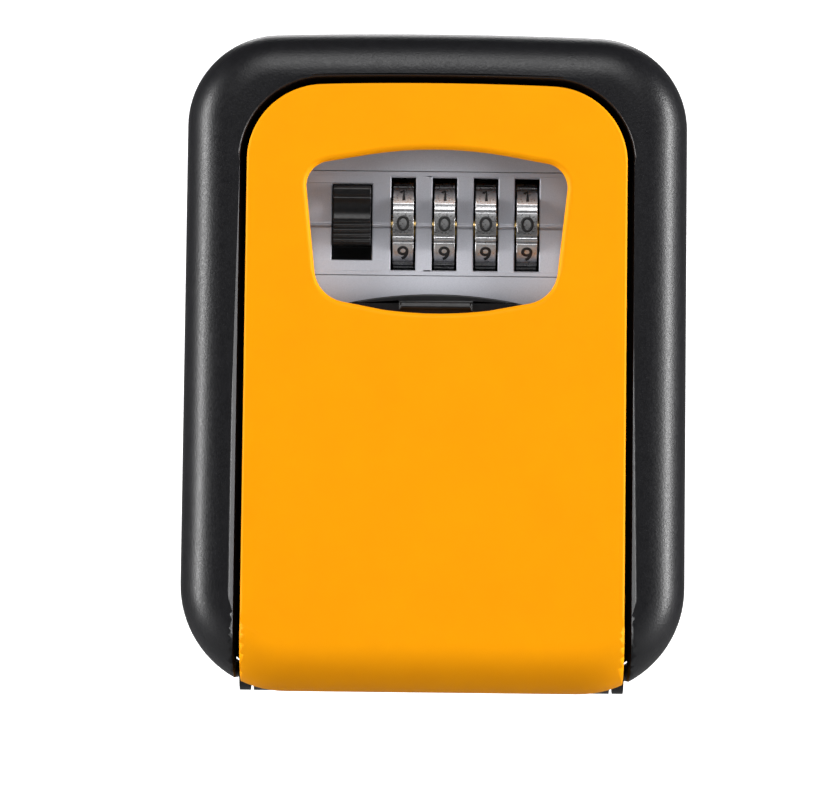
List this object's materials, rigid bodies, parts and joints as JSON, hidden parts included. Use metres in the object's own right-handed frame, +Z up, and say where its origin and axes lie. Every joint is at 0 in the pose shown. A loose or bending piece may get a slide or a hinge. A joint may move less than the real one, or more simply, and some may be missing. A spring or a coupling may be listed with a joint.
{
  "type": "key lock box",
  "caption": "Wall-mounted key lock box with a bottom-hinged door, combination dials, a release slide and a sliding dust shutter.",
  "frame": {"origin": "centre of the flat back face that lies against the wall", "axes": "+Z up, -Y out of the front through the door, +X to the right of someone facing the front"},
  "size_m": [0.095, 0.04, 0.125],
  "materials": {
    "black_case": "fine matte grain",
    "orange_door": "satin orange paint",
    "grey_plate": "satin silver-grey metallic paint",
    "black_button": "satin black",
    "black_liner": "matte",
    "chrome": "bright plating",
    "cast_zinc": "as cast",
    "sheet_steel": "zinc plated",
    "spring_steel": "bright",
    "brass": "turned",
    "seal_rubber": "matte"
  },
  "bodies": {
    "housing": {"front_bezel": "black_case", "rear_tray": "black_case", "tray_gasket": "seal_rubber", "strike_plate": "sheet_steel", "strike_screw_1": "sheet_steel", "strike_screw_2": "sheet_steel", "bezel_screw_1": "sheet_steel", "bezel_screw_2": "sheet_steel", "bezel_screw_3": "sheet_steel", "bezel_screw_4": "sheet_steel", "hinge_pin": "sheet_steel"},
    "door": {"door_cover": "orange_door", "door_liner": "black_liner", "dial_plate": "grey_plate", "mechanism_cover": "black_liner", "lock_chassis": "cast_zinc", "dial_shaft": "sheet_steel", "detent_spring": "spring_steel", "shaft_spring": "spring_steel", "latch_spring": "spring_steel", "liner_screw_1": "sheet_steel", "liner_screw_2": "sheet_steel", "liner_screw_3": "sheet_steel", "liner_screw_4": "sheet_steel", "cover_screw_1": "sheet_steel", "cover_screw_2": "sheet_steel", "cover_screw_3": "sheet_steel", "cover_screw_4": "sheet_steel"},
    "shutter": {"dial_shutter": "black_button"},
    "latch": {"release_button": "black_button", "latch_plate": "sheet_steel", "button_screw": "sheet_steel"},
    "reset": {"reset_lever": "sheet_steel"},
    "dial_1": {"dial_wheel_1": "chrome"},
    "dial_2": {"dial_wheel_2": "chrome"},
    "dial_3": {"dial_wheel_3": "chrome"},
    "dial_4": {"dial_wheel_4": "chrome"},
    "sleeve_1": {"code_sleeve_1": "brass"},
    "sleeve_2": {"code_sleeve_2": "brass"},
    "sleeve_3": {"code_sleeve_3": "brass"},
    "sleeve_4": {"code_sleeve_4": "brass"}
  },
  "joints": [
    {"name": "door_hinge", "type": "hinge", "parent": "housing", "child": "door", "pos_m": [0, -0.0195, -0.0585], "axis": [1, 0, 0], "range_deg": [0, 95]},
    {"name": "shutter_slide", "type": "slide", "parent": "door", "child": "shutter", "axis": [0, 0, 1], "range_m": [0, 0.027]},
    {"name": "release_slide", "type": "slide", "parent": "door", "child": "latch", "axis": [0, 0, -1], "range_m": [0, 0.0024], "stiffness_N_per_m": 400, "springref_m": -0.002, "deforming": ["latch_spring"]},
    {"name": "reset_slide", "type": "slide", "parent": "door", "child": "reset", "axis": [1, 0, 0], "range_m": [0, 0.0016], "stiffness_N_per_m": 400, "springref_m": -0.002, "deforming": ["shaft_spring"]},
    {"name": "dial_1_spin", "type": "hinge", "parent": "door", "child": "dial_1", "pos_m": [-0.0063, -0.0266, 0.02575], "axis": [1, 0, 0], "continuous": true},
    {"name": "dial_2_spin", "type": "hinge", "parent": "door", "child": "dial_2", "pos_m": [0.0015, -0.0266, 0.02575], "axis": [1, 0, 0], "continuous": true},
    {"name": "dial_3_spin", "type": "hinge", "parent": "door", "child": "dial_3", "pos_m": [0.0093, -0.0266, 0.02575], "axis": [1, 0, 0], "continuous": true},
    {"name": "dial_4_spin", "type": "hinge", "parent": "door", "child": "dial_4", "pos_m": [0.0171, -0.0266, 0.02575], "axis": [1, 0, 0], "continuous": true},
    {"name": "sleeve_1_shift", "type": "slide", "parent": "dial_1", "child": "sleeve_1", "axis": [1, 0, 0], "range_m": [0, 0.0016]},
    {"name": "sleeve_2_shift", "type": "slide", "parent": "dial_2", "child": "sleeve_2", "axis": [1, 0, 0], "range_m": [0, 0.0016]},
    {"name": "sleeve_3_shift", "type": "slide", "parent": "dial_3", "child": "sleeve_3", "axis": [1, 0, 0], "range_m": [0, 0.0016]},
    {"name": "sleeve_4_shift", "type": "slide", "parent": "dial_4", "child": "sleeve_4", "axis": [1, 0, 0], "range_m": [0, 0.0016]}
  ],
  "couplings": [
    {"joint": "sleeve_1_shift", "follows": "reset_slide", "ratio": 1},
    {"joint": "sleeve_2_shift", "follows": "reset_slide", "ratio": 1},
    {"joint": "sleeve_3_shift", "follows": "reset_slide", "ratio": 1},
    {"joint": "sleeve_4_shift", "follows": "reset_slide", "ratio": 1}
  ]
}
